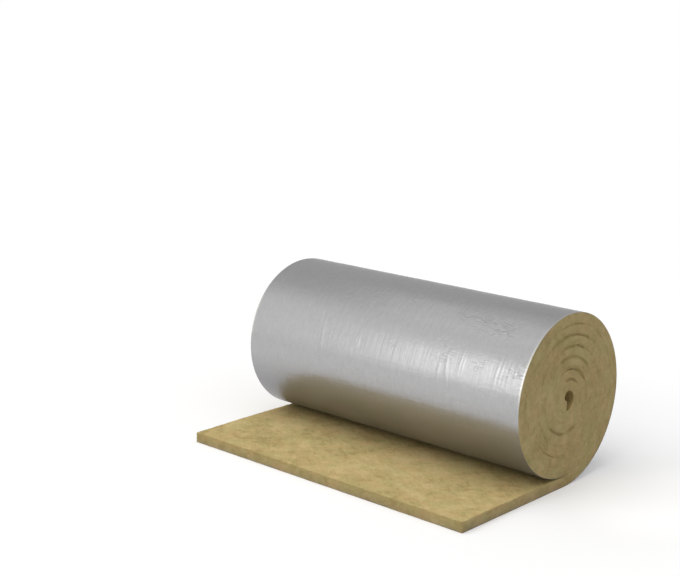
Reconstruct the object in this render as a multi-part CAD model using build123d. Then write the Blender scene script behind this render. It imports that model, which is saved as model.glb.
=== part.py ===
"""Insulation roll: a stone wool mat faced with aluminium foil, wound with the foil outside
and partly unrolled, so that a flap of it lies on the floor in front of the roll.

Frame: X runs along the roll, -Y points to the free end of the flap and Z is up. The floor is
z = 0, and the origin is on it, in the middle of the part's footprint.
"""

import os

from build123d import *

# Driving dimensions, in millimetres.
MAT_WIDTH = 1000.0  # across the mat, which is the length of the roll
MAT_THICKNESS = 30.0  # stone wool alone
FACING_THICKNESS = 0.3  # reinforced aluminium foil with its adhesive
TURN_GAP = 0.7  # air between the facing of a turn and the wool of the turn around it
INNER_BEND_RADIUS = 10.0  # inside radius of the first quarter turn that is wound
TURNS = 7  # whole turns, from the inner end of the mat to the flap
FLAP_LENGTH = 450.0  # unrolled mat, from its free end to the line under the roll's centre
GROOVE_DEPTH = 6.0  # how far the edges of the turns stand apart at the two ends

# The winding. Each quarter turn is an arc, and from one quarter to the next the radius drops by
# a quarter of the pitch while the centre steps round a small square. Its sides keep every
# joint between two arcs tangent, so the mat has one thickness all the way.
PITCH = MAT_THICKNESS + FACING_THICKNESS + TURN_GAP
QUARTER_STEP = PITCH / 4
QUARTERS = 4 * TURNS
OUTER_RADIUS = (
    INNER_BEND_RADIUS + MAT_THICKNESS + FACING_THICKNESS + (QUARTERS - 1) * QUARTER_STEP
)
SQUARE = ((0, 0), (1, 0), (1, 1), (0, 1))  # centres of the quarters, in quarter steps
WOOL_BOTTOM = FACING_THICKNESS  # the facing lies between the wool and the floor
WOOL_TOP = WOOL_BOTTOM + MAT_THICKNESS  # upper face of the flap
MIDDLE_Y = (OUTER_RADIUS - FLAP_LENGTH) / 2  # middle of the footprint, from the roll's centre


def quarter_arc(index, depth):
    """One quarter turn, counted from the outside, on the surface that lies this deep in it.

    The first quarter starts under the roll's centre and rises behind it.
    """
    step_y, step_z = SQUARE[index % 4]
    centre = (step_y * QUARTER_STEP, OUTER_RADIUS + step_z * QUARTER_STEP)
    radius = OUTER_RADIUS - index * QUARTER_STEP - depth
    return CenterArc(centre, radius, -90 + 90 * (index % 4), 90)


def winding(first, last, depth):
    """The quarter arcs of one surface of the mat, from quarter first up to quarter last."""
    return [quarter_arc(index, depth) for index in range(first, last)]


def closed_face(chain, *corners):
    """A flat face bounded by a chain of edges and straight lines through further corners."""
    start, end = chain[0] @ 0, chain[-1] @ 1
    return make_face(Curve() + [*chain, Polyline(end, *corners, start)])


def along_roll(face, low, high):
    """A profile drawn in (Y, Z) and extruded along X, from low to high."""
    section_plane = Plane(origin=(low, -MIDDLE_Y, 0), x_dir=(0, 1, 0), z_dir=(1, 0, 0))
    return extrude(section_plane * face, high - low)


def bore_face():
    """The hollow that the innermost turn leaves, with the step of the mat's cut inner end."""
    wool_inside = FACING_THICKNESS + MAT_THICKNESS
    return closed_face(winding(QUARTERS - 4, QUARTERS, wool_inside))


def groove_face():
    """The spiral gap between the turns, from under the roll's centre in to the bore."""
    inner_wall = winding(4, QUARTERS, FACING_THICKNESS)
    outer_wall = winding(0, QUARTERS - 4, FACING_THICKNESS + MAT_THICKNESS)
    across_start = Line(outer_wall[0] @ 0, inner_wall[0] @ 0)
    across_end = Line(outer_wall[-1] @ 1, inner_wall[-1] @ 1)
    return make_face(Curve() + [*inner_wall, *outer_wall, across_start, across_end])


def stone_wool_mat():
    """The wool: the wound part as one solid with its bore and grooved ends, and its flap."""
    outer_turn = winding(0, 4, FACING_THICKNESS)
    outline = closed_face(
        outer_turn,
        (0, WOOL_TOP),
        (-FLAP_LENGTH, WOOL_TOP),
        (-FLAP_LENGTH, WOOL_BOTTOM),
    )
    half = MAT_WIDTH / 2
    mat = along_roll(outline, -half, half) - along_roll(bore_face(), -half, half)
    groove = groove_face()
    for low, high in ((-half, GROOVE_DEPTH - half), (half - GROOVE_DEPTH, half)):
        mat -= along_roll(groove, low, high)
    return mat


def foil_facing():
    """The foil: one skin under the flap and round the outer turn, down to the flap's top."""
    outside = winding(0, 4, 0)
    inside = winding(0, 4, FACING_THICKNESS)
    landing = Line(outside[-1] @ 1, inside[-1] @ 1)
    under_flap = Polyline(
        inside[0] @ 0,
        (-FLAP_LENGTH, WOOL_BOTTOM),
        (-FLAP_LENGTH, 0),
        outside[0] @ 0,
    )
    skin = make_face(Curve() + [*outside, *inside, landing, under_flap])
    return along_roll(skin, -MAT_WIDTH / 2, MAT_WIDTH / 2)


def mat_length():
    """Length of the whole mat along its middle, wound part and flap."""
    middle_depth = FACING_THICKNESS + MAT_THICKNESS / 2
    return FLAP_LENGTH + sum(arc.length for arc in winding(0, QUARTERS, middle_depth))


os.makedirs("parts", exist_ok=True)
PARTS = {"stone_wool_mat": stone_wool_mat(), "foil_facing": foil_facing()}
for name, shape in PARTS.items():
    export_step(shape, f"parts/{name}.step")
    size = shape.bounding_box().size
    print(name, f"{size.X:.1f} x {size.Y:.1f} x {size.Z:.1f} mm, {shape.volume / 1e6:.2f} l")
print(f"mat length {mat_length():.0f} mm, roll height {PARTS['foil_facing'].bounding_box().max.Z:.1f} mm")
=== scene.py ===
"""Looks of an insulation roll: a stone wool mat with an aluminium foil facing, partly unrolled.

The mat is wound with the foil outside, and its free end lies on the floor in front of the roll.
Everything is in metres. X runs along the roll, -Y points to the free end of the flap, Z is up.
"""

import logging
import math
from collections.abc import Callable
from dataclasses import dataclass, field
from enum import Enum

import bmesh
import bpy
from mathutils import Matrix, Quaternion, Vector, noise


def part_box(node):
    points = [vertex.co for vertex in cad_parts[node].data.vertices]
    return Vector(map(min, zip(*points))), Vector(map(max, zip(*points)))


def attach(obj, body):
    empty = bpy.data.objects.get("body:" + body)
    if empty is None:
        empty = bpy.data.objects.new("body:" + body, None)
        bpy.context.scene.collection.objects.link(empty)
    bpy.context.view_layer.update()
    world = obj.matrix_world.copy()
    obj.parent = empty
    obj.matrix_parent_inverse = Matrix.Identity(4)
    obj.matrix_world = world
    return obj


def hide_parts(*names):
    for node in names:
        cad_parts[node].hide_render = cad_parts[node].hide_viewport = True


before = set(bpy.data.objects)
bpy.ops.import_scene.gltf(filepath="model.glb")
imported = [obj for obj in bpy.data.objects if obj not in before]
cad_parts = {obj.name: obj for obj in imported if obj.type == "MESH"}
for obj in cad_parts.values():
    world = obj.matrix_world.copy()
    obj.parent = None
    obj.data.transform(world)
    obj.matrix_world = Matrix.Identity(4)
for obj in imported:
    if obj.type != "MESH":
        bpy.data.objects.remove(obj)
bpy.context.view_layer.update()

log = logging.getLogger("insulation_roll")

FOIL_NODE = "foil_facing"
WOOL_NODE = "stone_wool_mat"
QUARTER = math.pi / 2
CLOSE = 1e-5  # vertices nearer than this are merged
SAME = 1e-6  # places nearer than this are the same
LEAST_SPIN_STEPS = 6
LEAST_WEIGHT = 0.001
SMOOTH_ANGLE = math.radians(50)
SEEING_RAYS = ("Is Camera Ray", "Is Glossy Ray", "Is Transmission Ray")

Piece = bpy.types.Object
Socket = bpy.types.NodeSocket
Material = bpy.types.Material
World = bpy.types.World
Colour = tuple[float, float, float, float]
Point = tuple[float, float, float]
Span = tuple[float, float]  # from the value that gives 0 to the value that gives 1


class MaterialSlot(Enum):
    """The record's material slots."""

    WOOL = "stone_wool"
    FOIL = "aluminium_foil"


class Weights(Enum):
    """Vertex groups that tell a modifier where it works, and how much."""

    TOP = "flap_top"
    CUT = "cut_edges"
    SUNK = "sunk_turns"
    LIPS = "closed_lips"
    SQUARE_RIGHT = "square_corners_right"
    SQUARE_LEFT = "square_corners_left"
    OPEN = "open_crevices"
    WORN = "worn_corners"
    WAVY = "wavy_edges"
    SKIN = "free_skin"
    RIM = "rim"
    CREASED = "creases"


@dataclass(frozen=True)
class Winding:
    """The line that the mat follows: straight along the floor, then quarter turns inwards.

    From one quarter turn to the next the radius drops by a quarter of the pitch and the centre
    steps round a small square, so that all the joints between two arcs are tangent.
    """

    centre_y: float
    outer_radius: float
    flap_length: float
    half_width: float
    thickness: float = 0.030
    facing: float = 0.0003
    gap: float = 0.0007
    turns: int = 7

    @classmethod
    def from_frame(cls) -> "Winding":
        """Works out the winding from the box of the foil in the frame.

        Returns:
            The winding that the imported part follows.
        """
        low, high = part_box(FOIL_NODE)
        pitch = cls.thickness + cls.facing + cls.gap
        radius = (high.z + pitch / 4) / 2
        centre_y = high.y - radius
        return cls(centre_y, radius, centre_y - low.y, high.x)

    @property
    def pitch(self) -> float:
        """Distance from a turn to the next."""
        return self.thickness + self.facing + self.gap

    @property
    def drop(self) -> float:
        """How much the radius drops from a quarter turn to the next."""
        return self.pitch / 4

    @property
    def middle(self) -> float:
        """Height of the middle of the flap's wool."""
        return self.facing + self.thickness / 2

    @property
    def top(self) -> float:
        """Height of the flap's upper face."""
        return self.facing + self.thickness

    @property
    def free_end(self) -> float:
        """Y of the free end of the flap."""
        return self.centre_y - self.flap_length

    def centre(self, quarter: int) -> Vector:
        """Centre of a quarter turn, counted from the flap inwards, in the plane X = 0."""
        along, up = ((0, 0), (1, 0), (1, 1), (0, 1))[quarter % 4]
        return Vector((0, self.centre_y + along * self.drop, self.outer_radius + up * self.drop))

    def radius(self, quarter: int) -> float:
        """Outer radius of a quarter turn, to the face of the foil."""
        return self.outer_radius - quarter * self.drop

    def layer(self, point: Vector) -> tuple[int, int, float]:
        """Finds the quarter turn that a wound point lies in.

        Args:
            point: A point of the wound part.

        Returns:
            Its turn from the outside inwards, its quarter in that turn, and how far inwards from
            the outer turn's foil it lies.
        """
        y, z = point.y - self.centre_y, point.z - self.outer_radius
        if y >= 0 and z <= 0:
            quarter = 0
        elif y >= self.drop and z >= 0:
            quarter = 1
        else:
            quarter = 2 if z >= self.drop else 3
        centre = self.centre(quarter)
        inwards = self.radius(quarter) - math.hypot(point.y - centre.y, point.z - centre.z)
        return max(0, math.floor((inwards + self.gap / 2) / self.pitch)), quarter, inwards

    def flat_place(self, point: Vector) -> Vector:
        """Where a point of the mat or its foil lies when the mat is unrolled.

        Args:
            point: A point of the wound or the flat part.

        Returns:
            The distances across the mat, along it from under the roll's centre inwards, and from
            the face of the foil into the wool.
        """
        y = point.y - self.centre_y
        if y < 0 and point.z < self.top + self.gap / 2:
            return Vector((point.x, y, point.z))
        turn, corner, inwards = self.layer(point)
        centre = self.centre(corner)
        quarter = 4 * turn + corner
        angle = math.atan2(point.z - centre.z, point.y - centre.y) + QUARTER - corner * QUARTER
        angle = (angle + math.pi) % (2 * math.pi) - math.pi
        before = sum(self.radius(index) for index in range(quarter)) * QUARTER
        return Vector((point.x, before + angle * self.radius(quarter), inwards - turn * self.pitch))


def smooth_step(low: float, high: float, value: float) -> float:
    """Rises smoothly from 0 at low to 1 at high, or falls where low is above high."""
    share = min(max((value - low) / (high - low), 0.0), 1.0)
    return share * share * (3 - 2 * share)


def from_least(least: float, share: float) -> float:
    """Squeezes a share from 0 to 1 in between its least value and 1."""
    return least + (1 - least) * share


@dataclass(frozen=True)
class Drift:
    """Slow noise along a line, from its least value to 1. Its waves are about a length long."""

    seed: float
    length: float
    least: float = 0.0
    gain: float = 1.6
    offset: float = 0.37

    def at(self, place: float) -> float:
        """The noise at a place on the line."""
        swing = self.gain * noise.noise(Vector((place / self.length, self.seed, self.offset)))
        return from_least(self.least, 0.5 + 0.5 * min(max(swing, -1.0), 1.0))


@dataclass
class Spot:
    """A vertex of a wound piece: its place, and its flat place, where the mat is unrolled.

    On the mat it may lie on a cut edge and at a line between two turns, of which 0 is none, where
    the corners stand apart by a share from 0 to 1.
    """

    point: Vector
    flat: Vector
    cut: float = 0.0
    line: int = 0
    opened: float = 0.0


# Bpy helpers. An operator acts on what is selected, so most of them select that first.


def deselect_all() -> None:
    """Leaves edit mode and deselects every object."""
    if bpy.context.object and bpy.context.object.mode != "OBJECT":
        bpy.ops.object.mode_set(mode="OBJECT")
    bpy.ops.object.select_all(action="DESELECT")


def make_active(piece: Piece) -> None:
    """Selects one object alone and makes it the active one."""
    deselect_all()
    piece.select_set(True)
    bpy.context.view_layer.objects.active = piece


def apply_place(piece: Piece) -> None:
    """Moves an object's place, turn and scale into its mesh."""
    make_active(piece)
    bpy.ops.object.transform_apply(location=True, rotation=True, scale=True)


def edit_all(piece: Piece) -> None:
    """Opens a piece in edit mode with all of it selected."""
    make_active(piece)
    bpy.ops.object.mode_set(mode="EDIT")
    bpy.ops.mesh.select_all(action="SELECT")


def pick_edges(test: Callable[[Vector, Vector], bool]) -> None:
    """Selects, in edit mode, the edges whose two ends pass a test.

    Args:
        test: Takes the places of an edge's two ends.
    """
    bpy.ops.mesh.select_mode(type="EDGE")
    bpy.ops.mesh.select_all(action="DESELECT")
    mesh = bpy.context.object.data
    shape = bmesh.from_edit_mesh(mesh)
    for edge in shape.edges:
        if test(edge.verts[0].co, edge.verts[1].co):
            edge.select_set(True)
    shape.select_flush_mode()
    bmesh.update_edit_mesh(mesh)


def extrude(across: float, along: float) -> None:
    """Extrudes the selected edges by a distance along X and one along Y."""
    bpy.ops.mesh.extrude_edges_move(TRANSFORM_OT_translate={"value": (across, along, 0)})


def join(pieces: list[Piece]) -> None:
    """Joins objects into the first, and leaves it in edit mode with its doubles merged.

    Args:
        pieces: The mesh objects.
    """
    make_active(pieces[0])
    for piece in pieces:
        piece.select_set(True)
    bpy.ops.object.join()
    edit_all(pieces[0])
    bpy.ops.mesh.remove_doubles(threshold=CLOSE)


# Shader maths.


class Value:
    """A number in a material's node tree, so that shader maths reads as Python."""

    def __init__(self, shader: "Shader", socket: Socket) -> None:
        """Wraps a socket of a shader's nodes."""
        self.shader = shader
        self.socket = socket

    def _with(self, operation: str, *values: "Value | float") -> "Value":
        """Adds a Math node on the given values."""
        settings = {"operation": operation}
        return self.shader.number("ShaderNodeMath", settings, dict(enumerate(values)))

    def __add__(self, other: "Value | float") -> "Value":
        """Sum."""
        return self._with("ADD", self, other)

    __radd__ = __add__

    def __sub__(self, other: "Value | float") -> "Value":
        """Difference."""
        return self._with("SUBTRACT", self, other)

    def __rsub__(self, other: float) -> "Value":
        """Difference from a plain number."""
        return self._with("SUBTRACT", other, self)

    def __mul__(self, other: "Value | float") -> "Value":
        """Product."""
        return self._with("MULTIPLY", self, other)

    def clamped(self) -> "Value":
        """The value held between 0 and 1."""
        return self.shader.number("ShaderNodeClamp", {}, {"Value": self})

    def ramp(self, span: Span, start: float = 0.0, end: float = 1.0) -> "Value":
        """Goes smoothly from a start to an end as the value goes through a span.

        Args:
            span: The values that give the start and the end.
            start: Result at the span's first value and before it.
            end: Result at the span's second value and past it.

        Returns:
            The mapped value.
        """
        ends = {"From Min": span[0], "From Max": span[1], "To Min": start, "To Max": end}
        settings = {"interpolation_type": "SMOOTHSTEP"}
        return self.shader.number("ShaderNodeMapRange", settings, {"Value": self, **ends})


class Shader:
    """Builds the node tree of a material or of the world."""

    def __init__(self, owner: Material | World) -> None:
        """Starts the node tree of a material or a world from nothing.

        Args:
            owner: The material or the world.
        """
        self.owner = owner
        owner.use_nodes = True
        self.tree = owner.node_tree
        self.tree.nodes.clear()

    @classmethod
    def for_material(cls, name: str) -> "Shader":
        """Starts a new material."""
        return cls(bpy.data.materials.new(name))

    def node(
        self, kind: str, settings: dict | None = None, inputs: dict | None = None
    ) -> bpy.types.Node:
        """Adds a node.

        Args:
            kind: The node's type.
            settings: Its properties, which are set first.
            inputs: Values or links of its sockets, by name or index.

        Returns:
            The new node.
        """
        made = self.tree.nodes.new(kind)
        for key, value in (settings or {}).items():
            setattr(made, key, value)
        for key, value in (inputs or {}).items():
            source = value.socket if isinstance(value, Value) else value
            if isinstance(source, Socket):
                self.tree.links.new(source, made.inputs[key])
            else:
                made.inputs[key].default_value = source
        return made

    def link(self, kind: str, inputs: dict) -> Socket:
        """Adds a node without settings and gives its first output."""
        return self.node(kind, {}, inputs).outputs[0]

    def number(self, kind: str, settings: dict, inputs: dict, output: str | int = 0) -> Value:
        """Adds a node and wraps one of its outputs as a number."""
        return Value(self, self.node(kind, settings, inputs).outputs[output])

    def object_place(self) -> Socket:
        """The point's place on the piece, in metres."""
        return self.node("ShaderNodeTexCoord").outputs["Object"]

    def attribute(self, name: str) -> Socket:
        """A vector that the mesh carries at each of its points."""
        return self.node("ShaderNodeAttribute", {"attribute_name": name}).outputs["Vector"]

    def mark(self, name: str) -> Value:
        """A number that the mesh carries at each of its points."""
        return self.number("ShaderNodeAttribute", {"attribute_name": name}, {}, "Fac")

    def blend(self, factor: Value, first: object, second: object) -> Socket:
        """Goes from the first colour to the second as factor goes from 0 to 1."""
        inputs = {0: factor, 6: first, 7: second}
        return self.node("ShaderNodeMix", {"data_type": "RGBA"}, inputs).outputs[2]

    def tinted(self, colour: object, tint: object) -> Socket:
        """One colour times another."""
        settings = {"data_type": "RGBA", "blend_type": "MULTIPLY"}
        return self.node("ShaderNodeMix", settings, {0: 1.0, 6: colour, 7: tint}).outputs[2]

    def bump(self, height: Value, distance: float, strength: float = 1.0) -> Socket:
        """A normal from a height between 0 and 1."""
        inputs = {"Height": height, "Distance": distance, "Strength": strength}
        return self.link("ShaderNodeBump", inputs)

    def mix(self, share: "Value | float", *surfaces: Socket) -> Socket:
        """Goes from the first of two surfaces to the second as the share goes from 0 to 1."""
        return self.link("ShaderNodeMixShader", {0: share, 1: surfaces[0], 2: surfaces[1]})

    def finish(self, surface: Socket) -> Material | World:
        """Links the surface to the output.

        Args:
            surface: The shader's socket.

        Returns:
            The finished material or world.
        """
        kind = "Material" if isinstance(self.owner, Material) else "World"
        self.node("ShaderNodeOutput" + kind, {}, {"Surface": surface})
        return self.owner


@dataclass(frozen=True)
class Pattern:
    """Soft noise from 0 to 1. Three scales stretch it along the axes, after a turn about Z."""

    scale: float | Point
    detail: float = 3.0
    roughness: float = 0.5
    distortion: float = 0.0
    turn: float = 0.0

    def on(self, shader: Shader, vector: Socket) -> Value:
        """Adds the pattern to a material.

        Args:
            shader: The material's nodes.
            vector: The coordinates that the pattern follows.

        Returns:
            The noise at each point.
        """
        inputs = {
            "Vector": vector,
            "Scale": self.scale,
            "Detail": self.detail,
            "Roughness": self.roughness,
            "Distortion": self.distortion,
        }
        if isinstance(self.scale, tuple):
            turn = {"Vector": vector, "Rotation": (0, 0, self.turn)}
            turned = shader.link("ShaderNodeMapping", turn) if self.turn else vector
            stretch = {"Vector": turned, "Scale": self.scale}
            inputs |= {"Vector": shader.link("ShaderNodeMapping", stretch), "Scale": 1.0}
        return shader.number("ShaderNodeTexNoise", {"noise_dimensions": "3D"}, inputs)


@dataclass(frozen=True)
class Shades:
    """A colour with a paler and a darker shade beside it."""

    mid: Colour
    pale: Colour
    dark: Colour

    def mixed(self, shader: Shader, light: Value) -> Socket:
        """From the dark shade at 0 over the middle one at 0.5 to the pale one at 1."""
        lower = shader.blend(light.ramp((0.0, 0.5)), self.dark, self.mid)
        return shader.blend(light.ramp((0.5, 1.0)), lower, self.pale)


@dataclass(frozen=True)
class WoolFinish:
    """Stone wool: matted fibres in soft tufts and strokes, and layers at the cut edges."""

    name: str = "stone_wool"
    face: Shades = Shades(
        mid=(0.494, 0.382, 0.170, 1), pale=(0.573, 0.452, 0.217, 1), dark=(0.390, 0.298, 0.124, 1)
    )
    cut: Shades = Shades(
        mid=(0.446, 0.345, 0.163, 1), pale=(0.507, 0.401, 0.198, 1), dark=(0.369, 0.281, 0.125, 1)
    )
    olive: Colour = (0.965, 1.01, 0.98, 1)
    ochre: Colour = (1.035, 0.99, 1.0, 1)
    # painted shade: the flap's cut edges greyer and darker towards the floor
    painted_foot_shade: Colour = (0.90, 0.905, 1.06, 1)
    # painted shade: the face of the flap's free end darker all over, as it faces the brightest light
    free_end: Colour = (0.90, 0.89, 0.82, 1)
    # painted shade: darker wool behind the turns' lips and in the core's hole
    recess_shade_tint: Colour = (0.86, 0.84, 0.76, 1)
    plain: Colour = (1, 1, 1, 1)
    roughness: float = 0.93
    specular: float = 0.2
    bump_depth: float = 0.0016
    bump_strength: float = 0.55
    face_contrast: Span = (0.365, 0.635)
    cut_contrast: Span = (0.36, 0.64)
    hue_contrast: Span = (0.35, 0.65)
    patches: Pattern = Pattern(13.0, 2.0, 0.5, 0.5)
    tufts: Pattern = Pattern(46.0, 2.0, 0.55, 0.8)
    leaning: Pattern = Pattern((14, 56, 60), 3.0, 0.55, 2.0, 0.66)
    crossing: Pattern = Pattern((17, 60, 60), 3.0, 0.55, 2.0, -0.50)
    layers: Pattern = Pattern((60, 16, 250), 3.0, 0.6, 0.3)
    fibres: Pattern = Pattern((150, 900, 500), 2.0, 0.6, 1.5, 0.35)
    strands: Pattern = Pattern((170, 900, 500), 2.0, 0.6, 1.5, -0.9)
    specks: Pattern = Pattern(125.0, 2.0, 0.6, 1.0)
    hue: Pattern = Pattern(21.0, 2.0, 0.5, 0.4)

    def build(self) -> Material:
        """Makes the material.

        Returns:
            The material.
        """
        shader = Shader.for_material(self.name)
        place = shader.object_place()
        patches = self.patches.on(shader, place)
        tufts = self.tufts.on(shader, place)
        leaning = self.leaning.on(shader, place)
        crossing = self.crossing.on(shader, place)
        specks = self.specks.on(shader, place)
        hue = self.hue.on(shader, place)
        layers = self.layers.on(shader, shader.attribute("wound"))
        fine = self.fibres.on(shader, place) * 0.5 + self.strands.on(shader, place) * 0.5
        soft = patches * 0.35 + tufts * 0.23 + leaning * 0.21 + crossing * 0.17 + fine * 0.04
        sides = patches * 0.25 + tufts * 0.28 + layers * 0.22 + specks * 0.17 + fine * 0.08
        face = self.face.mixed(shader, soft.ramp(self.face_contrast))
        cut = self.cut.mixed(shader, sides.ramp(self.cut_contrast))
        colour = shader.blend(shader.mark("cut"), face, cut)
        tone = shader.blend(hue.ramp(self.hue_contrast), self.olive, self.ochre)
        colour = shader.tinted(colour, tone)
        # Tints of painted shade: at the foot of the flap's edges, on the free end's face, and in the
        # recesses
        tints = {"painted_foot_shade": self.painted_foot_shade, "free_end": self.free_end, "inside": self.recess_shade_tint}
        for name, tint in tints.items():
            colour = shader.tinted(colour, shader.blend(shader.mark(name), self.plain, tint))
        height = soft * 0.5 + fine * 0.35 + layers * 0.15
        inputs = {
            "Base Color": colour,
            "Roughness": self.roughness,
            "Specular IOR Level": self.specular,
            "Normal": shader.bump(height, self.bump_depth, self.bump_strength),
        }
        return shader.finish(shader.link("ShaderNodeBsdfPrincipled", inputs))


@dataclass(frozen=True)
class FoilFinish:
    """Satin aluminium foil: fine lines run round the roll, and some patches are crumpled.

    Part of the foil mirrors clearly, and the rest spreads the light widely.
    """

    name: str = "aluminium_foil"
    colour: Colour = (0.447, 0.447, 0.450, 1)
    dull: Colour = (0.395, 0.395, 0.398, 1)
    # painted highlight along the foil's rim at the roll's end
    edge: Colour = (0.70, 0.68, 0.62, 1)
    # painted shade: the foil darker low on the roll's front, towards the flap
    painted_shade: Colour = (0.315, 0.318, 0.335, 1)
    # painted glints on the crease flanks
    painted_glint: Colour = (0.60, 0.60, 0.605, 1)
    clear_roughness: float = 0.24
    satin_roughness: float = 0.52
    satin_metal: float = 0.78
    satin_share: float = 0.45
    roughness_swing: float = 0.08
    bump_depth: float = 0.00040
    haze_contrast: float = 1.7
    # painted highlight on the crinkles of the crumpled patches
    painted_crinkle_highlight: float = 0.3
    crinkle_contrast: Span = (0.50, 0.70)
    lines: Pattern = Pattern((150, 7, 1), roughness=0.6)
    streaks: Pattern = Pattern((6, 75, 1))
    clouds: Pattern = Pattern((11, 7, 1))
    crumple: Pattern = Pattern((34, 105, 1), 2.5, 0.55, 1.3)
    haze: Pattern = Pattern((95, 42, 1), 3.0, 0.6, 0.6)
    pressed: Pattern = Pattern(38.0, 2.0, 0.5, 0.4)

    def build(self) -> Material:
        """Makes the material.

        Returns:
            The material.
        """
        shader = Shader.for_material(self.name)
        along = shader.attribute("wound")
        lines, streaks, clouds, crumple, haze = (
            pattern.on(shader, along)
            for pattern in (self.lines, self.streaks, self.clouds, self.crumple, self.haze)
        )
        pressed = self.pressed.on(shader, shader.object_place())
        crinkles = crumple.ramp(self.crinkle_contrast) * shader.mark("crumpled")
        height = lines * 1.6 + streaks * 0.9 + pressed * 0.7 + crumple * 0.5 + crinkles * 2.0
        # The haze is the foil's own uneven tone; the crinkles add a painted highlight.
        haze_and_crinkle_highlight = 0.5 + (haze - 0.5) * self.haze_contrast + crinkles * self.painted_crinkle_highlight
        colour = shader.blend(haze_and_crinkle_highlight.clamped(), self.dull, self.colour)
        # Painted glints on the creases, painted shade low on the front, and a painted highlight along
        # the rim
        tones = {"painted_glints": self.painted_glint, "painted_low_shade": self.painted_shade, "painted_rim_highlight": self.edge}
        for name, tone in tones.items():
            colour = shader.blend(shader.mark(name), colour, tone)
        normal = shader.bump(height, self.bump_depth)
        lobes = []
        for roughness, metal in (
            (self.clear_roughness, 1.0),
            (self.satin_roughness, self.satin_metal),
        ):
            inputs = {
                "Base Color": colour,
                "Metallic": metal,
                "Roughness": clouds * self.roughness_swing + (roughness - self.roughness_swing / 2),
                "Normal": normal,
            }
            lobes.append(shader.link("ShaderNodeBsdfPrincipled", inputs))
        return shader.finish(shader.mix(self.satin_share, *lobes))


@dataclass(frozen=True)
class FloorFinish:
    """White studio floor. What the eye sees of it is lifted to plain white, but for the shadow.

    It is lifted most far away, and in a painted pool of light beside the roll that thins the roll's
    shadow.
    """

    name: str = "studio_floor"
    colour: Colour = (0.68, 0.68, 0.68, 1)
    seen_colour: Colour = (0.82, 0.82, 0.82, 1)
    white: Colour = (1, 1, 1, 1)
    lift: float = 0.25
    # lifted less near the roll so that its shadow shows; this also greys the floor there, a faint
    # painted shade
    near_lift: float = 0.177
    far: Span = (0.60, 1.60)
    # painted pool of light that thins the roll's shadow beside it
    painted_light_spot: Point = (0.72, 0.20, 0)
    spot_edge: Span = (0.12, 0.34)

    def build(self) -> Material:
        """Makes the material.

        Returns:
            The material.
        """
        shader = Shader.for_material(self.name)
        rays = shader.node("ShaderNodeLightPath").outputs
        kinds = [Value(shader, rays[kind]) for kind in SEEING_RAYS]
        seen = (kinds[0] + kinds[1] + kinds[2]).clamped()
        matt, bright = (
            shader.link("ShaderNodeBsdfDiffuse", {"Color": colour})
            for colour in (self.colour, self.seen_colour)
        )
        place = shader.object_place()
        distance = {"operation": "DISTANCE"}
        away, aside = (
            shader.number("ShaderNodeVectorMath", distance, {0: place, 1: spot}, "Value")
            for spot in ((0, 0, 0), self.painted_light_spot)
        )
        share = (away.ramp(self.far) + aside.ramp(self.spot_edge, 1.0, 0.0)).clamped()
        glows = [
            shader.link("ShaderNodeEmission", {"Color": self.white, "Strength": lift})
            for lift in (self.near_lift, self.lift)
        ]
        lifted = shader.link("ShaderNodeAddShader", {0: bright, 1: shader.mix(share, *glows)})
        return shader.finish(shader.mix(seen, matt, lifted))


@dataclass(frozen=True)
class StudioSky:
    """Light from all round: a pale wall at the left, light overhead, and plain white to the eye.

    The spans are those of the direction's X, Y and Z.
    """

    name: str = "studio_sky"
    white: Colour = (1, 1, 1, 1)
    wall_front: float = 0.744
    wall_back: float = 0.38
    wall_turn: Span = (0.05, -0.42)
    wall_edge: Span = (-0.55, -0.15)
    wall_in_foil: float = 1.46
    level: float = 0.296
    overhead: float = 0.96
    rise: Span = (0.05, 0.80)
    back_share: float = 0.60
    room_turn: Span = (0.50, -0.30)

    def build(self) -> World:
        """Makes the world.

        Returns:
            The world.
        """
        shader = Shader(bpy.data.worlds.new(self.name))
        way = shader.node("ShaderNodeTexCoord").outputs["Generated"]
        parts = shader.node("ShaderNodeSeparateXYZ", {}, {0: way}).outputs
        x, y, z = (Value(shader, parts[axis]) for axis in "XYZ")
        wall = y.ramp(self.wall_turn, self.wall_back, self.wall_front)
        above = z.ramp(self.rise, self.level, self.overhead)
        room = above * y.ramp(self.room_turn, self.back_share)
        light = wall + (room - wall) * x.ramp(self.wall_edge)
        rays = shader.node("ShaderNodeLightPath").outputs
        mirrored = Value(shader, rays["Is Glossy Ray"])
        light = light + mirrored * (wall * self.wall_in_foil - light)
        eye = Value(shader, rays["Is Camera Ray"]) + Value(shader, rays["Is Transmission Ray"])
        inputs = {"Color": self.white, "Strength": light + eye * (1.0 - light)}
        return shader.finish(shader.link("ShaderNodeBackground", inputs))


@dataclass(frozen=True)
class Relief:
    """Unevenness of a surface: a noise texture that raises and sinks it along its normals.

    A unit gives the size of the pattern across and along the mat, where it is stretched.
    """

    name: str
    group: Weights
    size: float
    height: float
    unit: tuple[float, float] | None = None
    depth: int = 2
    middle: float = 0.5


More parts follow.
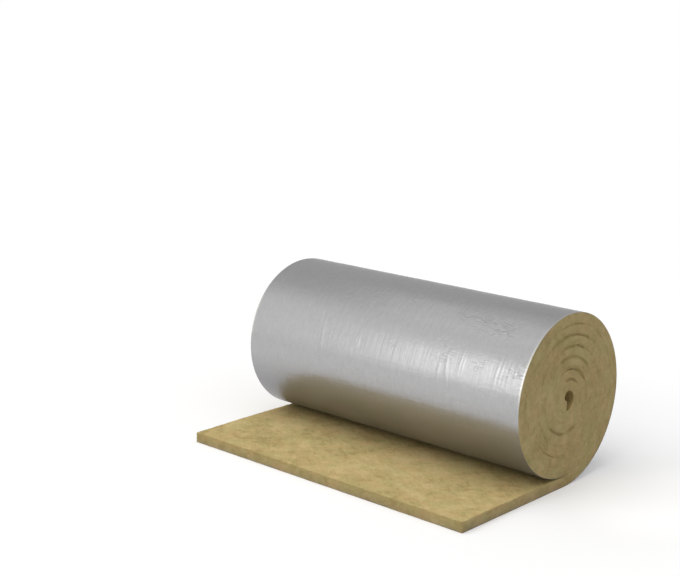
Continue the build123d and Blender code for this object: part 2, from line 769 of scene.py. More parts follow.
@dataclass
class WoundPiece:
    """A piece that follows the winding. Its spots stand for its vertices."""

    winding: Winding
    piece: Piece = field(init=False, default=None)
    spots: list[Spot] = field(init=False, default_factory=list)

    def spin(self, turn: int, step: float) -> None:
        """Spins the selected edges round one turn, quarter by quarter.

        Args:
            turn: Index of the turn, from the outside inwards.
            step: About how long a step of the spin is.
        """
        for quarter in range(4 * turn, 4 * turn + 4):
            bpy.ops.mesh.spin(
                steps=max(LEAST_SPIN_STEPS, round(self.winding.radius(quarter) * QUARTER / step)),
                angle=QUARTER,
                center=self.winding.centre(quarter),
                axis=(-1, 0, 0),
                dupli=False,
                use_auto_merge=False,
            )

    def finish_winding(self) -> None:
        """Turns all faces outwards, and stores each point's flat place, for the materials."""
        bpy.ops.mesh.select_all(action="SELECT")
        bpy.ops.mesh.normals_make_consistent(inside=False)
        bpy.ops.object.mode_set(mode="OBJECT")
        vertices = self.piece.data.vertices
        self.spots = [Spot(v.co.copy(), self.winding.flat_place(v.co)) for v in vertices]
        marks = self.piece.data.attributes.new("wound", "FLOAT_VECTOR", "POINT")
        marks.data.foreach_set("vector", [number for spot in self.spots for number in spot.flat])

    def thicken(self) -> None:
        """Gives a skin the foil's thickness, from its outer face inwards."""
        make_active(self.piece)
        wall = self.piece.modifiers.new("thickness", "SOLIDIFY")
        wall.thickness = self.winding.facing
        wall.offset = -1
        bpy.ops.object.modifier_apply(modifier=wall.name)

    def rest_on(self, level: float) -> None:
        """Presses flat what sticks out below a level.

        Args:
            level: Height above the floor.
        """
        make_active(self.piece)
        bpy.ops.object.mode_set(mode="EDIT")
        bpy.ops.mesh.select_mode(type="VERT")
        bpy.ops.mesh.select_all(action="DESELECT")
        shape = bmesh.from_edit_mesh(self.piece.data)
        for vertex in shape.verts:
            vertex.select_set(vertex.co.z < level)
        bmesh.update_edit_mesh(self.piece.data)
        bpy.ops.transform.resize(value=(1, 1, 0), center_override=(0, 0, level))
        bpy.ops.object.mode_set(mode="OBJECT")

    def mark(self, name: str, rule: Callable[[Spot], float]) -> None:
        """Stores at each point the number that a rule gives, for the material."""
        marks = self.piece.data.attributes.new(name, "FLOAT", "POINT")
        marks.data.foreach_set("value", [rule(spot) for spot in self.spots])

    def weigh(self, group: Weights, rule: Callable[[Spot], float]) -> None:
        """Fills a vertex group.

        Args:
            group: Which group to fill.
            rule: Gives a spot its weight. A spot of about 0 stays out of the group.
        """
        made = self.piece.vertex_groups.new(name=group.value)
        for index, weight in enumerate(map(rule, self.spots)):
            if weight > LEAST_WEIGHT:
                made.add([index], min(weight, 1.0), "REPLACE")

    def push(self, group: Weights, distance: float, way: str = "NORMAL") -> None:
        """Moves a group's vertices by their weight times a distance.

        Args:
            group: Which vertices to move.
            distance: How far a vertex of full weight moves.
            way: NORMAL for outwards, or the axis to move along.
        """
        make_active(self.piece)
        pushed = self.piece.modifiers.new(group.value, "DISPLACE")
        pushed.direction = way
        pushed.strength = distance
        pushed.mid_level = 0.0
        pushed.vertex_group = group.value
        bpy.ops.object.modifier_apply(modifier=pushed.name)

    def carve(self, relief: Relief) -> None:
        """Raises and sinks a group's vertices as a relief says.

        Args:
            relief: Names the group, and gives the noise its size, depth and height.
        """
        mesh = self.piece.data
        texture = bpy.data.textures.new(relief.name, "CLOUDS")
        texture.noise_scale = relief.size
        texture.noise_depth = relief.depth
        make_active(self.piece)
        raised = self.piece.modifiers.new(relief.name, "DISPLACE")
        raised.texture = texture
        raised.strength = relief.height
        raised.mid_level = relief.middle
        raised.vertex_group = relief.group.value
        if relief.unit:
            raised.texture_coords = "UV"
            raised.uv_layer = self._lay_map(relief)
        bpy.ops.object.modifier_apply(modifier=raised.name)
        bpy.data.textures.remove(texture)
        if relief.unit:
            mesh.uv_layers.remove(mesh.uv_layers[relief.name])

    def _lay_map(self, relief: Relief) -> str:
        """Makes a UV map of the flat mat, on whose cut edges the depth is the width.

        Args:
            relief: Gives the map its name and its units.

        Returns:
            The map's name.
        """
        layer = self.piece.data.uv_layers.new(name=relief.name)
        across, along = relief.unit
        uvs = []
        for loop in self.piece.data.loops:
            place = self.spots[loop.vertex_index].flat
            uvs += [(place.x + place.z) / across, place.y / along]
        layer.uv.foreach_set("vector", uvs)
        return layer.name


@dataclass(frozen=True)
class Stretch:
    """A stretch of the line between two turns where the wool's corners stand apart.

    Line 1 lies between the outer turn and the next. Angles are in degrees from the floor under the
    roll's centre, over the back and the top to the front.
    """

    line: int
    start: float
    end: float
    width: float
    longest_fade: float = 12.0

    def openness(self, line: int, angle: float) -> float:
        """How far the corners stand apart.

        Args:
            line: A line between two turns.
            angle: An angle round the roll.

        Returns:
            A share from 0 to 1.
        """
        if line != self.line:
            return 0.0
        fade = min(self.longest_fade, (self.end - self.start) / 2)
        rising = smooth_step(self.start, self.start + fade, angle)
        return self.width * rising * smooth_step(self.end, self.end - fade, angle)


@dataclass
class StoneWoolMat(WoundPiece):
    """The mat: one strip of stone wool, wound turn by turn, with a fine grid on its flap.

    A span in flat places says where something starts on the flap, going out from under the roll's
    centre. The two drifts of a pair belong to the right and to the left end of the roll.
    """

    corner: float = 0.0016
    corner_steps: int = 2
    edge_cuts: int = 6
    thick_part: float = 0.005
    step: float = 0.0040
    columns: int = 280
    rows: int = 126
    cut_share: float = 0.9
    corner_share: float = 1.1
    relief_start: Span = (-0.004, -0.045)
    waves_start: Span = (-0.02, -0.06)
    lip: float = 0.00045
    lip_width: float = 0.0042
    lip_nearness: float = 0.55
    squareness: float = 0.9
    sunk: float = 0.0018
    sunk_outside: float = 0.15
    sunk_turns: Span = (0.9, 1.1)
    sunk_drifts: tuple[Drift, Drift] = (Drift(3.1, 0.45), Drift(8.4, 0.45))
    crevice: float = 0.0056
    crevice_width: float = 0.0082
    crevice_slope: float = 1.6
    loosest: float = 0.30
    loose_drifts: tuple[Drift, Drift] = (Drift(5.7, 0.09), Drift(-5.7, 0.09))
    left_end_turn: float = 150.0
    worn: float = 0.0014
    wear_start: Span = (0.0, -0.05)
    wear_drift: Drift = Drift(2.3, 0.03, least=0.3)
    foot_start: Span = (0.0, -0.04)
    foot_full: float = 0.004
    foot_top: float = 0.017
    foot_swing: float = 0.006
    foot_drift: Drift = Drift(9.1, 0.06)
    # where the painted shade in the recesses starts, along the mat
    recess_shade_start: float = 0.05
    stretches: tuple[Stretch, ...] = (
        Stretch(1, 155, 196, 0.35),
        Stretch(2, 140, 198, 0.60),
        Stretch(3, 146, 194, 0.85),
        Stretch(4, 126, 200, 0.90),
        Stretch(5, 112, 208, 1.00),
        Stretch(6, 126, 196, 0.70),
        Stretch(4, 308, 360, 0.85),
        Stretch(5, 0, 34, 0.85),
        Stretch(2, 314, 354, 0.30),
        Stretch(3, 96, 118, 0.40),
    )
    reliefs: tuple[Relief, ...] = (
        Relief("tufts", Weights.TOP, 0.055, 0.0026, depth=1),
        Relief("strokes_across", Weights.TOP, 1.0, 0.0015, unit=(0.032, 0.018)),
        Relief("lumps", Weights.TOP, 0.013, 0.0016),
        Relief("edge_waves", Weights.WAVY, 0.045, 0.0030, depth=1),
        Relief("cut_lumps", Weights.CUT, 0.014, 0.0016),
        Relief("cut_layers", Weights.CUT, 1.0, 0.0008, unit=(0.010, 0.070)),
    )
    name: str = "stone_wool_mat_wound"

    def build(self) -> Piece:
        """Makes the mat.

        Returns:
            The finished piece.
        """
        self._start_section()
        self._wind()
        self._round_free_end()
        self._close_core_end()
        self._subdivide_flap()
        self.finish_winding()
        self._shape_surfaces()
        return self.piece

    def _start_section(self) -> None:
        """Makes the outline of the mat's section under the roll's centre, its corners rounded."""
        w = self.winding
        deselect_all()
        place = (0, w.centre_y, w.middle)
        bpy.ops.mesh.primitive_plane_add(size=1, location=place, rotation=(QUARTER, 0, 0))
        self.piece = bpy.context.object
        self.piece.name = self.piece.data.name = self.name
        self.piece.scale = (2 * w.half_width, w.thickness, 1)
        apply_place(self.piece)
        edit_all(self.piece)
        bpy.ops.mesh.bevel(offset=self.corner, segments=self.corner_steps, affect="VERTICES")
        inside = w.half_width - self.lip_width
        for side in (-1, 1):
            bpy.ops.mesh.select_all(action="SELECT")
            bpy.ops.mesh.bisect(plane_co=(side * inside, 0, 0), plane_no=(1, 0, 0))
        bpy.ops.mesh.select_all(action="SELECT")
        bpy.ops.mesh.delete(type="ONLY_FACE")
        inside += CLOSE
        pick_edges(lambda a, b: max(abs(a.x), abs(b.x)) < inside and abs(a.x - b.x) < CLOSE)
        bpy.ops.mesh.delete(type="EDGE")
        pick_edges(lambda a, b: abs(a.x - b.x) < SAME and abs(a.z - b.z) > self.thick_part)
        bpy.ops.mesh.subdivide(number_cuts=self.edge_cuts)
        bpy.ops.object.mode_set(mode="OBJECT")

    def _wind(self) -> None:
        """Spins a copy of the section round each turn, and joins the turns to the flap."""
        w = self.winding
        turns = []
        for turn in range(w.turns):
            make_active(self.piece)
            bpy.ops.object.duplicate()
            bpy.ops.transform.translate(value=(0, 0, turn * w.pitch))
            turns.append(bpy.context.object)
            apply_place(turns[-1])
            edit_all(turns[-1])
            self.spin(turn, self.step)
        edit_all(self.piece)
        extrude(0, self.corner - w.flap_length)
        join([self.piece, *turns])

    def _round_free_end(self) -> None:
        """Rounds the rim of the free end and closes it with rows of faces."""
        w = self.winding
        start = w.free_end + self.corner
        pick_edges(lambda a, b: max(abs(a.y - start), abs(b.y - start)) < SAME)
        middle = Vector((0, start, w.middle))
        sizes = (2 * w.half_width, w.thickness)
        ahead, inset = 0.0, 0.0
        for step in range(1, self.corner_steps + 1):
            turned = step * QUARTER / self.corner_steps
            next_ahead = self.corner * math.sin(turned)
            next_inset = self.corner * (1 - math.cos(turned))
            extrude(0, ahead - next_ahead)
            shrink = [(full - 2 * next_inset) / (full - 2 * inset) for full in sizes]
            bpy.ops.transform.resize(value=(shrink[0], 1, shrink[1]), center_override=middle)
            ahead, inset = next_ahead, next_inset
        self._bridge(lambda a, b: max(abs(a.y - w.free_end), abs(b.y - w.free_end)) < SAME)

    def _close_core_end(self) -> None:
        """Closes the end of the mat that lies in the core of the roll."""
        w = self.winding
        low = w.outer_radius + w.drop - w.radius(4 * w.turns - 1)
        self._bridge(
            lambda a, b: max(abs(a.y - w.centre_y), abs(b.y - w.centre_y)) < SAME
            and min(a.z, b.z) > low - SAME
            and max(a.z, b.z) < low + w.pitch
        )

    def _bridge(self, test: Callable[[Vector, Vector], bool]) -> None:
        """Closes an end with faces from its right edges to its left ones.

        Args:
            test: Tells, from its two ends, whether an edge lies at that end of the mat.
        """
        width = self.winding.half_width
        pick_edges(lambda a, b: test(a, b) and abs(a.x - b.x) < width)
        bpy.ops.mesh.bridge_edge_loops()

    def _subdivide_flap(self) -> None:
        """Gives the flap's top and its free end a fine grid."""
        w = self.winding
        pick_edges(lambda a, b: abs(a.y - b.y) > w.flap_length / 2)
        bpy.ops.mesh.subdivide(number_cuts=self.rows)

        def rung(a: Vector, b: Vector) -> bool:
            """Whether an edge runs across the flap, above its foil."""
            above = w.facing + CLOSE < min(a.z, b.z) < w.top + CLOSE
            return above and max(a.y, b.y) < w.centre_y + CLOSE and abs(a.x - b.x) > w.half_width

        pick_edges(rung)
        bpy.ops.mesh.subdivide(number_cuts=self.columns)

    def _shape_surfaces(self) -> None:
        """Closes, sinks and opens the edges of the turns, and gives the wool its relief."""
        for spot in self.spots:
            spot.cut = self._cut(spot)
            spot.line = self._line(spot)
            spot.opened = self._opened(spot)
        self.weigh(Weights.TOP, self._top)
        self.weigh(Weights.CUT, self._cut)
        self.weigh(Weights.SUNK, self._sunk)
        self.weigh(Weights.LIPS, self._lip)
        self.weigh(Weights.SQUARE_RIGHT, lambda spot: self._square(spot, 1))
        self.weigh(Weights.SQUARE_LEFT, lambda spot: self._square(spot, -1))
        self.weigh(Weights.OPEN, lambda spot: spot.opened * self._near_line(spot) * spot.cut)
        self.weigh(Weights.WORN, self._worn)
        self.weigh(Weights.WAVY, lambda spot: spot.cut * smooth_step(*self.waves_start, spot.flat.y))
        self.push(Weights.LIPS, self.lip)
        self.push(Weights.SQUARE_RIGHT, self.corner * self.squareness, "X")
        self.push(Weights.SQUARE_LEFT, -self.corner * self.squareness, "X")
        self.push(Weights.WORN, -self.worn)
        self.push(Weights.SUNK, -self.sunk)
        self.push(Weights.OPEN, -self.crevice)
        for relief in self.reliefs:
            self.carve(relief)
        self.rest_on(self.winding.facing)
        self.mark("cut", self._cut)
        # Painted shade at the foot of the flap's edges, near the floor
        self.mark("painted_foot_shade", self._painted_foot_shade)
        # Painted shade over the face of the free end
        self.mark("free_end", self._free_end)
        # Painted shade in the recesses: behind the turns' lips and in the core's hole
        self.mark("inside", self._recess_shade)

    # Rules that give a spot a share from 0 to 1.

    def _free_end(self, spot: Spot) -> float:
        """1 on the cut face of the free end."""
        return float(spot.flat.y < self.corner * self.cut_share - self.winding.flap_length)

    def _cut(self, spot: Spot) -> float:
        """1 on the mat's cut edges."""
        at_side = abs(spot.flat.x) > self.winding.half_width - self.corner * self.cut_share
        return 1.0 if at_side else self._free_end(spot)

    def _recess_shade(self, spot: Spot) -> float:
        """1 on the wound mat's faces behind their lips, which get a painted shade."""
        inner = self.winding.half_width - self.lip_width + CLOSE
        return float(spot.flat.y > self.recess_shade_start and abs(spot.flat.x) < inner)

    def _top(self, spot: Spot) -> float:
        """1 on the flap's upper face, away from the roll."""
        upper = spot.flat.z > self.winding.top - self.corner
        return smooth_step(*self.relief_start, spot.flat.y) * upper

    def _near_line(self, spot: Spot) -> float:
        """1 at the mat's two faces, down to 0 at the crevices' width from them."""
        from_face = self.winding.thickness / 2 - abs(spot.flat.z - self.winding.middle)
        return max(0.0, 1 - from_face / self.crevice_width) ** self.crevice_slope

    def _square(self, spot: Spot, side: int) -> float:
        """How far a lip's corner is pressed square, on the right side, 1, or on the left, -1."""
        back = self.winding.half_width - abs(spot.flat.x)
        return self._lip(spot) * back / self.corner * (spot.flat.x * side > 0)

    def _worn(self, spot: Spot) -> float:
        """How worn the flap's upper corner is."""
        upper = spot.flat.z >= self.winding.top - self.corner * self.corner_share
        uneven = self.wear_drift.at(spot.flat.x + spot.flat.y)
        return spot.cut * upper * smooth_step(*self.wear_start, spot.flat.y) * uneven

    def _painted_foot_shade(self, spot: Spot) -> float:
        """How much painted shade a vertex gets at the foot of the flap's edges, greyer and darker near
        the floor.
        """
        top = self.foot_top + self.foot_swing * self.foot_drift.at(spot.flat.x + spot.flat.y)
        on_flap = smooth_step(*self.foot_start, spot.flat.y)
        return spot.cut * on_flap * smooth_step(top, self.foot_full, spot.flat.z)

    def _sunk(self, spot: Spot) -> float:
        """How far the cut edge of a turn lies back.

        Args:
            spot: A vertex of the mat.

        Returns:
            A share from 0 to 1.
        """
        if not spot.cut or spot.flat.y < 0:
            return 0.0
        first_turn = 2 * math.pi * self.winding.outer_radius
        low, high = (first_turn * turns for turns in self.sunk_turns)
        inner = from_least(self.sunk_outside, smooth_step(low, high, spot.flat.y))
        return self.sunk_drifts[spot.flat.x <= 0].at(spot.flat.y) * inner

    def _line(self, spot: Spot) -> int:
        """Finds the line between two turns that a vertex lies at.

        Args:
            spot: A vertex.

        Returns:
            The line's number, or 0 for none.
        """
        turn = self.winding.layer(spot.point)[0]
        line = turn + 1 if spot.flat.z > self.winding.thickness / 2 else turn
        return line if spot.flat.y > 0 and line < self.winding.turns else 0

    def _opened(self, spot: Spot) -> float:
        """How far the mat's corner stands back from the next turn's.

        Args:
            spot: A vertex of the mat, with its line.

        Returns:
            A share from 0 to 1.
        """
        w = self.winding
        if spot.line == 0 or abs(spot.flat.x) < w.half_width - self.lip_width:
            return 0.0
        left = spot.flat.x <= 0
        angle = math.degrees(math.atan2(spot.point.z - w.outer_radius, spot.point.y - w.centre_y)) + 90
        angle = (angle + self.left_end_turn * left) % 360
        opened = max(stretch.openness(spot.line, angle) for stretch in self.stretches)
        return max(opened, self.loosest * self.loose_drifts[left].at(spot.flat.y) ** 2)

    def _lip(self, spot: Spot) -> float:
        """How far the mat's corner is pressed on the next turn's."""
        on_rim = abs(spot.flat.x) > self.winding.half_width - self.corner * self.corner_share
        near = self._near_line(spot) > self.lip_nearness
        return 1 - spot.opened if spot.line and on_rim and near else 0.0


@dataclass(frozen=True)
class Crease:
    """A fine fold of the foil that runs round the roll.

    Angles are in degrees above the level of the roll's centre, on its front.
    """

    across: float
    low: float
    high: float
    lean: float = 0.0
    height: float = 0.7
    steep: float = 0.0030
    gentle: float = 0.0064
    bluntness: float = 0.7
    # Place, width and unevenness of the painted glint on the fold's right flank
    glint_place: float = 0.0016
    glint_width: float = 0.0017
    least_glint: float = 0.35
    glint_wave: float = 4.0
    seed_spread: float = 70.0

    def _share(self, angle: float) -> float:
        """How far up the fold an angle lies, from 0 to 1 on it."""
        return (angle - self.low) / (self.high - self.low)

    def _aside(self, across: float, angle: float) -> float:
        """How far to the right of the fold's crest a point lies."""
        return across - self.across - self.lean * (self._share(angle) - 0.5)

    def _presence(self, angle: float) -> float:
        """1 in the middle of the fold, down to 0 at its ends."""
        share = self._share(angle)
        return math.sin(math.pi * share) ** self.bluntness if 0 < share < 1 else 0.0

    def _faded(self, away: float, angle: float) -> float:
        """The fold's height, faded away from it and towards its ends."""
        return self.height * math.exp(-away * away) * self._presence(angle)

    def rise(self, across: float, angle: float) -> float:
        """Height of the fold, from 0 to 1, at a place along the roll and an angle."""
        away = self._aside(across, angle)
        return self._faded(away / (self.steep if away > 0 else self.gentle), angle)

    def painted_glint(self, across: float, angle: float) -> float:
        """How strongly the painted glint on the fold's right flank shows, from 0 to 1, at such a
        place.
        """
        away = (self._aside(across, angle) - self.glint_place) / self.glint_width
        drift = Drift(self.across * self.seed_spread, self.glint_wave, self.least_glint)
        return self._faded(away, angle) * drift.at(angle)


@dataclass(frozen=True)
class Crumple:
    """A patch of the foil with fine crumples, at an angle as a crease's."""

    across: float
    angle: float
    width: float
    reach: float
    strength: float = 1.0

    def at(self, across: float, angle: float) -> float:
        """Strength of the crumples at a place along the roll and an angle."""
        x, y = (across - self.across) / self.width, (angle - self.angle) / self.reach
        return self.strength * math.exp(-x * x - y * y)


@dataclass
class FoilFacing(WoundPiece):
    """The foil on the outer turn and under the flap.

    The spans are heights above the floor.
    """

    columns: int = 440
    flap_rows: int = 8
    step: float = 0.018
    rim: float = 0.0018
    rim_steps: int = 2
    rim_turn: float = math.radians(65)
    upper: Span = (0.20, 0.30)
    lower_rim: float = 0.3
    # Painted highlight along the rim: its width and fade, the heights where it starts and dims, and
    # how far it dims
    edge_width: float = 0.0068
    edge_fade: float = 0.0040
    edge_start: Span = (0.26, 0.33)
    edge_dimming: Span = (0.38, 0.44)
    edge_dimmed: float = 0.65
    lifted: Span = (0.036, 0.075)
    rim_fade: float = 0.012
    rim_freedom: float = 0.25
    # angle at which the painted shade low on the front is darkest
    darkest_angle: float = -34.0
    crease_height: float = 0.0010
    creases: tuple[Crease, ...] = (
        Crease(0.226, 14, 26, 0.004),
        Crease(0.250, 13, 33, -0.018, height=1.0),
        Crease(0.261, -4, 22, -0.004, height=0.3),
        Crease(0.268, 15, 27, -0.006, height=0.5),
        Crease(0.292, 17, 37, 0.002, height=0.65),
        Crease(0.302, 18, 35, 0.002, height=0.65),
        Crease(0.414, 15, 38, 0.004, height=1.0),
        Crease(0.427, 15, 38, 0.004, height=0.9),
        Crease(0.439, 14, 37, 0.003, height=0.8),
        Crease(0.452, 16, 36, 0.002, height=0.8),
        Crease(0.470, 20, 36, -0.004),
        Crease(-0.236, 27, 47, -0.010, height=0.3),
        Crease(-0.212, 10, 39, -0.012, height=0.45),
        Crease(-0.082, 21, 29, 0.002),
        Crease(-0.072, 21, 29, 0.002),
    )
    crumples: tuple[Crumple, ...] = (
        Crumple(0.235, 30, 0.030, 7.0, 0.8),
        Crumple(0.350, 28, 0.022, 6.0, 0.6),
        Crumple(0.450, 27, 0.035, 10.0, 0.5),
        Crumple(0.482, 27, 0.012, 4.0, 1.2),
        Crumple(0.330, 58, 0.070, 7.0, 1.7),
        Crumple(0.392, 52, 0.020, 8.0, 1.0),
        Crumple(0.240, 62, 0.040, 5.0, 1.2),
        Crumple(0.208, 38, 0.018, 3.0, 1.4),
        Crumple(0.055, 29, 0.014, 3.0, 0.9),
        Crumple(0.050, 50, 0.014, 3.0, 1.2),
        Crumple(0.044, 70, 0.020, 4.0, 1.4),
        Crumple(-0.090, 64, 0.045, 4.0, 1.2),
        Crumple(-0.200, 25, 0.030, 12.0, 0.5),
        Crumple(-0.470, 66, 0.030, 14.0, 0.6),
    )
    reliefs: tuple[Relief, ...] = (
        Relief("pillow", Weights.SKIN, 0.10, 0.0008, depth=1, middle=0.3),
        Relief("running_folds", Weights.SKIN, 1.0, 0.0003, unit=(0.030, 0.30), middle=0.3),
    )
    name: str = "foil_facing_outer"

    def build(self) -> Piece:
        """Makes the foil.

        Returns:
            The finished piece.
        """
        self._wind()
        self._add_rims()
        self.finish_winding()
        self._shape_surfaces()
        self.thicken()
        return self.piece

    def _wind(self) -> None:
        """Spins the edge of the flap's foil round the outer turn."""
        w = self.winding
        length = w.flap_length - self.rim
        deselect_all()
        bpy.ops.mesh.primitive_grid_add(
            x_subdivisions=self.columns,
            y_subdivisions=self.flap_rows,
            size=1,
            location=(0, w.centre_y - length / 2, 0),
        )
        self.piece = bpy.context.object
        self.piece.name = self.piece.data.name = self.name
        self.piece.scale = (2 * (w.half_width - self.rim), length, 1)
        apply_place(self.piece)
        bpy.ops.object.mode_set(mode="EDIT")
        pick_edges(lambda a, b: min(a.y, b.y) > w.centre_y - CLOSE)
        self.spin(0, self.step)

    def _add_rims(self) -> None:
        """Extrudes the two sides and the free end in short steps, for the rims that bend over."""
        w = self.winding
        turned = [self.rim_turn * step / self.rim_steps for step in range(self.rim_steps + 1)]
        arc = [self.rim * math.sin(angle) for angle in turned]
        for side in (-1, 1):
            for reach, further in zip(arc, arc[1:]):
                inner = w.half_width - self.rim + reach - SAME
                pick_edges(lambda a, b: min(a.x * side, b.x * side) > inner)
                extrude(side * (further - reach), 0)
        for reach, further in zip(arc, arc[1:]):
            end = w.free_end + self.rim - reach + SAME
            pick_edges(lambda a, b: max(a.y, b.y) < end)
            extrude(0, reach - further)

    def _shape_surfaces(self) -> None:
        """Turns the rims over, and gives the foil its folds and creases."""
        self.weigh(Weights.RIM, self._turned_over)
        self.weigh(Weights.SKIN, self._free)
        self.weigh(Weights.CREASED, lambda spot: self._sum(Crease.rise, spot))
        self.push(Weights.RIM, -self.rim)
        for relief in self.reliefs:
            self.carve(relief)
        self.push(Weights.CREASED, self.crease_height)
        self.rest_on(0.0)
        # Painted glints on the creases' right flanks
        self.mark("painted_glints", lambda spot: min(self._sum(Crease.painted_glint, spot), 1.0))
        # Crumpled patches: bumps, and a painted highlight on their crinkles
        self.mark("crumpled", self._crumpled)
        # Painted shade, darker towards the bottom of the roll's front
        self.mark("painted_low_shade", lambda spot: smooth_step(0, self.darkest_angle, self._angle(spot)))
        # Painted highlight along the rim at the roll's end
        self.mark("painted_rim_highlight", self._painted_rim_highlight)

    def _angle(self, spot: Spot) -> float:
        """Degrees above the level of the roll's centre, on its front."""
        w = self.winding
        return math.degrees(math.atan2(spot.point.z - w.outer_radius, w.centre_y - spot.point.y))

    def _sum(self, part: Callable[[Crease, float, float], float], spot: Spot) -> float:
        """Adds up what a method of the creases gives for a spot."""
        angle = self._angle(spot)
        near = [crease for crease in self.creases if crease.low < angle < crease.high]
        return sum(part(crease, spot.point.x, angle) for crease in near)

    def _crumpled(self, spot: Spot) -> float:
        """How strongly the foil is crumpled at a spot."""
        angle = self._angle(spot)
        return sum(patch.at(spot.point.x, angle) for patch in self.crumples)

    def _painted_rim_highlight(self, spot: Spot) -> float:
        """How strongly the painted highlight along the rim of the foil's edge shows at a point; it
        fades out near the floor and dims near the top.

        Args:
            spot: A vertex of the foil.

        Returns:
            A share from 0 to 1.
        """
        edge = self.winding.half_width - self.edge_width
        dimmed = 1 - self.edge_dimmed * smooth_step(*self.edge_dimming, spot.point.z)
        near_edge = smooth_step(edge, edge + self.edge_fade, abs(spot.point.x))
        return smooth_step(*self.edge_start, spot.point.z) * dimmed * near_edge

    def _turned_over(self, spot: Spot) -> float:
        """How far the rim bends in over the wool's corner, which it does less low on the roll.

        Args:
            spot: A vertex of the foil.

        Returns:
            A share from 0 to 1.
        """
        sideways = (abs(spot.flat.x) - self.winding.half_width + self.rim) / self.rim
        endways = (self.rim - self.winding.flap_length - spot.flat.y) / self.rim
        reach = min(max(sideways, endways, 0.0), 1.0)
        bent = from_least(self.lower_rim, smooth_step(*self.upper, spot.point.z))
        return (1 - math.sqrt(1 - reach**2)) * bent

    def _free(self, spot: Spot) -> float:
        """1 where nothing presses the foil flat, down to 0 at the floor and low at the rims."""
        edge = self.winding.half_width
        inner = smooth_step(edge, edge - self.rim_fade, abs(spot.point.x))
        return smooth_step(*self.lifted, spot.point.z) * from_least(self.rim_freedom, inner)


@dataclass
class InnerFacing(WoundPiece):
    """The foil between the inner turns, which shows as a thin line at the ends of the roll."""

    recess: float = 0.0035
    step: float = 0.009
    name: str = "foil_facing_inner_turns"

    def build(self) -> Piece:
        """Makes the foil of the inner turns.

        Returns:
            The finished piece.
        """
        turns = [self._wind(turn) for turn in range(1, self.winding.turns)]
        join(turns)
        self.piece = turns[0]
        self.piece.name = self.piece.data.name = self.name
        self.finish_winding()
        self.thicken()
        return self.piece

    def _wind(self, turn: int) -> Piece:
        """Spins one edge of a plane round a turn.

        Args:
            turn: Index of the turn, from the outside inwards.

        Returns:
            The foil of that turn.
        """
        w = self.winding
        half = w.half_width - self.recess
        deselect_all()
        bpy.ops.mesh.primitive_plane_add(size=2 * half, location=(0, 0, turn * w.pitch))
        wound = bpy.context.object
        apply_place(wound)
        bpy.ops.object.mode_set(mode="EDIT")
        pick_edges(lambda a, b: max(a.y, b.y) < 0)
        bpy.ops.mesh.delete(type="EDGE")
        pick_edges(lambda a, b: abs(a.x - b.x) < SAME)
        bpy.ops.mesh.delete(type="EDGE")
        bpy.ops.mesh.select_all(action="SELECT")
        bpy.ops.transform.translate(value=(0, w.centre_y - half, 0))
        self.spin(turn, self.step)
        bpy.ops.object.mode_set(mode="OBJECT")
        return wound


@dataclass(frozen=True)
class Panel:
    """A rectangular light whose face looks as bright as its light value says."""

    name: str
    place: Point
    aim: Point
    size: tuple[float, float]
    light: float
    only_mirrored: bool = False

    def build(self) -> None:
        """Makes the light."""
        bpy.ops.object.light_add(type="AREA", location=self.place)
        panel = bpy.context.object
        panel.name = self.name
        panel.rotation_euler = (panel.location - Vector(self.aim)).to_track_quat("Z", "Y").to_euler()
        panel.data.shape = "RECTANGLE"
        panel.data.size, panel.data.size_y = self.size
        panel.data.energy = math.pi * self.size[0] * self.size[1] * self.light
        panel.visible_diffuse = not self.only_mirrored


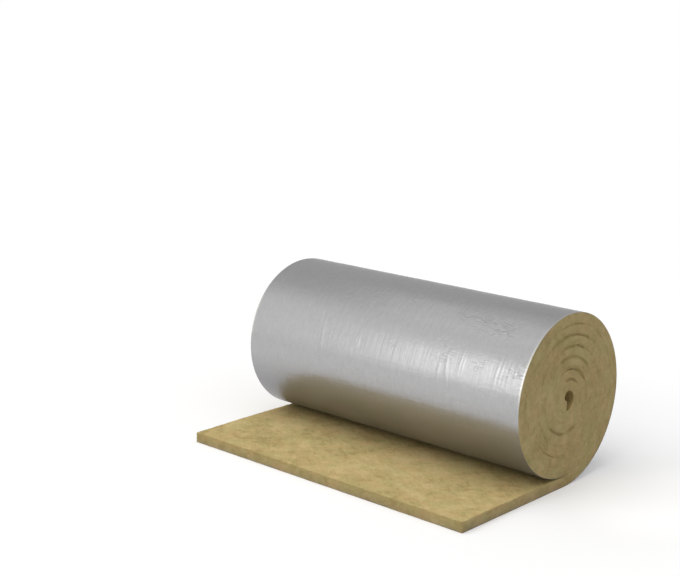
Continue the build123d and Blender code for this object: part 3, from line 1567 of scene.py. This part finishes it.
@dataclass
class Studio:
    """Floor, light and camera."""

    azimuth: float = math.radians(42.538)
    elevation: float = math.radians(12.887)
    roll: float = math.radians(0.62)
    lens: float = 74.46
    sensor: float = 36.0
    place: Point = (2.5083, -3.0028, 1.3885)
    sight: float = 300.0
    floor_size: float = 160.0
    overhead: Point = (-0.15, -0.36, 0.92)
    overhead_strength: float = 0.97
    overhead_spread: float = math.radians(60)
    panels: tuple[Panel, ...] = (
        Panel("soft_box", (-0.55, -1.76, 1.03), (0.30, -0.10, 0.34), (1.25, 1.14), 1.05),
        Panel("soft_box_core", (-0.57, -1.64, 1.28), (0.28, 0.02, 0.59), (0.44, 0.60), 0.55, True),
        Panel("ceiling_panel", (-0.56, 0.05, 1.95), (0.35, 0.0, 0.45), (1.03, 1.15), 0.47),
        Panel("back_panel", (-0.62, 0.83, 1.89), (0.29, 0.78, 0.39), (0.52, 0.46), 0.26, True),
    )

    def build(self) -> None:
        """Makes the floor, the lights and the camera."""
        self._floor()
        bpy.context.scene.world = StudioSky().build()
        self._lamps()
        self._camera()

    def _floor(self) -> None:
        """Makes a large flat floor."""
        deselect_all()
        bpy.ops.mesh.primitive_plane_add(size=self.floor_size, location=(0, 0, 0))
        floor = bpy.context.object
        floor.name = floor.data.name = "studio_floor"
        floor.data.materials.append(FloorFinish().build())

    def _lamps(self) -> None:
        """Makes a broad soft light overhead, which nothing mirrors, and the panels."""
        deselect_all()
        bpy.ops.object.light_add(type="SUN")
        top = bpy.context.object
        top.name = "overhead_light"
        top.rotation_euler = Vector(self.overhead).to_track_quat("Z", "Y").to_euler()
        top.data.energy = self.overhead_strength
        top.data.angle = self.overhead_spread
        top.visible_glossy = False
        for panel in self.panels:
            panel.build()

    def _camera(self) -> None:
        """Makes the camera at the photograph's angle."""
        level = math.cos(self.elevation)
        back = Vector(
            (
                math.sin(self.azimuth) * level,
                -math.cos(self.azimuth) * level,
                math.sin(self.elevation),
            )
        )
        bpy.ops.object.camera_add(location=self.place)
        camera = bpy.context.object
        camera.rotation_mode = "QUATERNION"
        upright = (-back).to_track_quat("-Z", "Y")
        camera.rotation_quaternion = upright @ Quaternion((0, 0, 1), self.roll)
        camera.data.lens = self.lens
        camera.data.sensor_width = self.sensor
        camera.data.clip_end = self.sight
        bpy.context.scene.camera = camera


def dress(piece: Piece, material: Material) -> None:
    """Gives a piece its material, smooths it and makes it ride on the part.

    Args:
        piece: The finished mesh object.
        material: Its material.
    """
    piece.data.materials.clear()
    piece.data.materials.append(material)
    make_active(piece)
    bpy.ops.object.shade_smooth_by_angle(angle=SMOOTH_ANGLE)
    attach(piece, "root")
    piece.data.calc_loop_triangles()
    log.info("%s: %d triangles", piece.name, len(piece.data.loop_triangles))


def main() -> None:
    """Builds every piece and sets the studio."""
    logging.basicConfig(level=logging.INFO, format="%(message)s")
    winding = Winding.from_frame()
    foil_finish = FoilFinish().build()
    mat = StoneWoolMat(winding).build()
    dress(mat, WoolFinish().build())
    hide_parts(WOOL_NODE)
    skin = FoilFacing(winding).build()
    dress(skin, foil_finish)
    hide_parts(FOIL_NODE)
    dress(InnerFacing(winding).build(), foil_finish)
    Studio().build()
    bpy.context.scene.view_settings.view_transform = "Standard"


if __name__ == "__main__":
    main()
